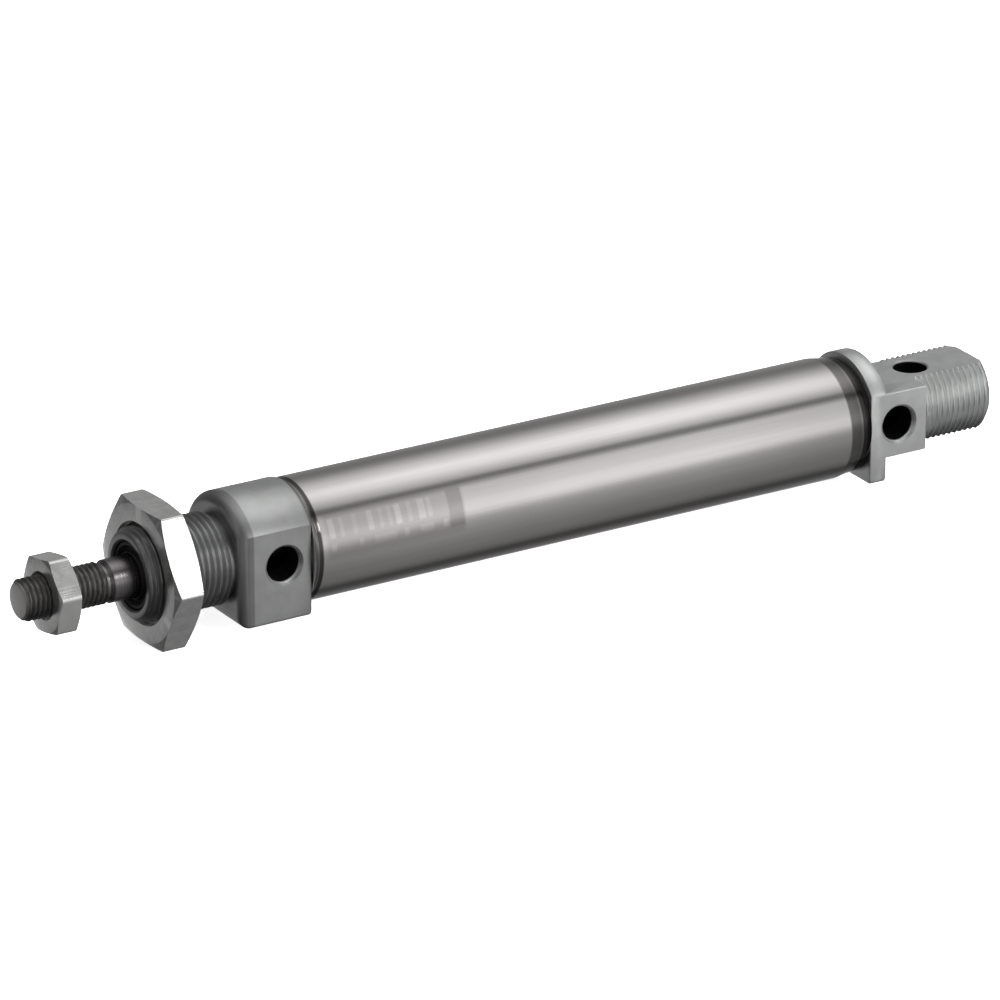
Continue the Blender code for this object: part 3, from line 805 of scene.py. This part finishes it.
def make_camera():
    """Long lens from the rod end, a little above, at the angle of the reference view."""
    turn, rise = math.radians(31.29), math.radians(22.09)
    distance = 1.866
    back = Vector((-math.sin(turn) * math.cos(rise), -math.cos(turn) * math.cos(rise), math.sin(rise)))
    right = Vector((math.cos(turn), -math.sin(turn), 0.0))
    up = back.cross(right)
    target = Vector((-4.2 * MM, 0.0, 0.0)) + right * 1.72 * MM - up * 1.6 * MM
    data = bpy.data.cameras.new("camera")
    data.lens = 292.9
    data.sensor_width = 36.0
    data.clip_start = 0.05
    data.clip_end = 50.0
    camera = bpy.data.objects.new("camera", data)
    basis = Matrix((right, up, back)).transposed()
    camera.matrix_world = Matrix.Translation(target + back * distance) @ basis.to_4x4()
    bpy.context.scene.collection.objects.link(camera)
    bpy.context.scene.camera = camera


def grey_ramp(tree, value, stops):
    """Grey levels over a value, from stops (value, level)."""
    first, last = stops[0][0], stops[-1][0]
    share = tree.nodes.new("ShaderNodeMapRange")
    share.inputs["From Min"].default_value = first
    share.inputs["From Max"].default_value = last
    tree.links.new(value, share.inputs["Value"])
    ramp = tree.nodes.new("ShaderNodeValToRGB")
    tree.links.new(share.outputs["Result"], ramp.inputs["Fac"])
    elements = ramp.color_ramp.elements
    places = [((stop - first) / (last - first), level) for stop, level in stops]
    for place, _ in places[1:-1]:
        elements.new(place)
    for element, (place, level) in zip(elements, places):
        element.position = place
        element.color = (level, level, level, 1.0)
    return ramp.outputs["Color"]


def colour_mix(tree, blend):
    node = tree.nodes.new("ShaderNodeMix")
    node.data_type = "RGBA"
    node.blend_type = blend
    return node


def make_world():
    """Studio surround seen in the metal: long soft strips along the cylinder, set by their angle about it.

    Angles in degrees run from -Y (0) up over +Z (90). How far the strips reach is set by a direction's X.
    The camera itself sees a plain pale surround.
    """
    strips = (
        (-180, 0.25), (-168, 0.30), (-154, 1.30), (-136, 0.20), (-118, 0.12), (-104, 0.058), (-94, 0.058),
        (-86, 0.12), (-76, 0.165), (-56, 0.205), (-43, 0.245), (-21, 0.345), (-12, 0.44), (-5, 0.68),
        (3, 0.91), (14, 0.93), (24, 0.77), (36, 0.70), (46, 0.67), (54, 0.30), (58, 0.14), (62, 0.20),
        (67, 0.48), (76, 0.74), (84, 0.93), (95, 1.10), (104, 0.93), (125, 0.51), (137, 0.31),
        (147, 0.20), (157, 0.18), (180, 0.25),
    )
    reach = (
        (-1.0, 0.3), (-0.35, 0.3), (-0.2, 0.65), (0.05, 0.65), (0.27, 0.42), (0.42, 1.0), (0.56, 1.0),
        (0.72, 0.30), (0.86, 0.24), (0.95, 0.06), (1.0, 0.05),
    )
    world = bpy.data.worlds.new("studio")
    world.use_nodes = True
    tree = world.node_tree
    background = tree.nodes["Background"]
    coordinate = tree.nodes.new("ShaderNodeTexCoord")
    split = tree.nodes.new("ShaderNodeSeparateXYZ")
    tree.links.new(coordinate.outputs["Generated"], split.inputs[0])
    outward = tree.nodes.new("ShaderNodeMath")
    outward.operation = "MULTIPLY"
    outward.inputs[1].default_value = -1.0
    tree.links.new(split.outputs["Y"], outward.inputs[0])
    around = tree.nodes.new("ShaderNodeMath")
    around.operation = "ARCTAN2"
    tree.links.new(split.outputs["Z"], around.inputs[0])
    tree.links.new(outward.outputs[0], around.inputs[1])
    product = colour_mix(tree, "MULTIPLY")
    product.inputs[0].default_value = 1.0
    turns = [(math.radians(angle), level) for angle, level in strips]
    tree.links.new(grey_ramp(tree, around.outputs[0], turns), product.inputs[6])
    tree.links.new(grey_ramp(tree, split.outputs["X"], reach), product.inputs[7])
    rays = tree.nodes.new("ShaderNodeLightPath")
    behind = colour_mix(tree, "MIX")
    behind.inputs[7].default_value = (0.97, 0.97, 0.97, 1.0)
    tree.links.new(rays.outputs["Is Camera Ray"], behind.inputs[0])
    tree.links.new(product.outputs[2], behind.inputs[6])
    tree.links.new(behind.outputs[2], background.inputs["Color"])
    background.inputs["Strength"].default_value = 1.0
    bpy.context.scene.world = world


NUT = nut_steel()
RUBBER = seal_rubber()
make_tube(tube_metal())
# Both covers are the same anodised metal: the rear cover's copy is lighter, 0.84 against 0.60, as painted
# light.
make_front_cover(cover_metal("anodised_front_cover", 0.60))
make_rear_cover(cover_metal("anodised_rear_cover_painted_lighter", 0.84))
make_nut("mounting_nut_hex", "mounting_nut", "mounting_nut", 32.0 * MM, 11.15 * MM, 0.0, 0.4 * MM, NUT)
make_nut("rod_nut_hex", "rod_nut", "rod_nut", 17.0 * MM, 5.15 * MM, 11.0, 1.3 * MM, NUT)
make_rod(rod_chrome())
make_wiper(RUBBER)
dress_nodes(["front_cover_o_ring", "rear_cover_o_ring", "piston_seal_front", "piston_seal_rear",
             "piston_o_ring"], RUBBER)
dress_nodes(["piston_fixing_nut"], NUT)
for nodes_inside, finish in (
    (["piston_front_half", "piston_rear_half"],
     ("turned_piston", (0.60, 0.61, 0.62), (0.72, 0.73, 0.74), 1.0, 0.28, 0.40)),
    (["rod_guide_bush"], ("bush_bronze", (0.40, 0.26, 0.12), (0.56, 0.38, 0.19), 1.0, 0.35, 0.5)),
    (["front_cushion_pad", "rear_cushion_pad"],
     ("pad_plastic", (0.26, 0.13, 0.04), (0.34, 0.19, 0.07), 0.0, 0.45, 0.6)),
    (["piston_magnet"], ("magnet_compound", (0.04, 0.036, 0.036), (0.07, 0.06, 0.06), 0.0, 0.5, 0.65)),
    (["piston_wear_ring"], ("wear_plastic", (0.08, 0.19, 0.13), (0.12, 0.25, 0.18), 0.0, 0.45, 0.6)),
):
    dress_nodes(nodes_inside, plain_grain(*finish))

make_floor()
make_world()
make_camera()
MIDDLE = Vector((0.0, 0.0, 0.0))
area_light("overhead_softbox", Vector((0.2, 0.1, 1.3)), MIDDLE, 1.6, 1.2, 20.0)
area_light("front_softbox", Vector((0.9, -1.2, 0.5)), MIDDLE, 1.2, 1.0, 50.0)
NUT_CARD = NUT_FLAT + Vector((49.1 * MM, -80.9 * MM, 56.0 * MM))
area_light("nut_card", NUT_CARD, NUT_FLAT, 14.0 * MM, 28.0 * MM, 0.005, in_reflections=True)
bpy.context.scene.view_settings.view_transform = "Standard"
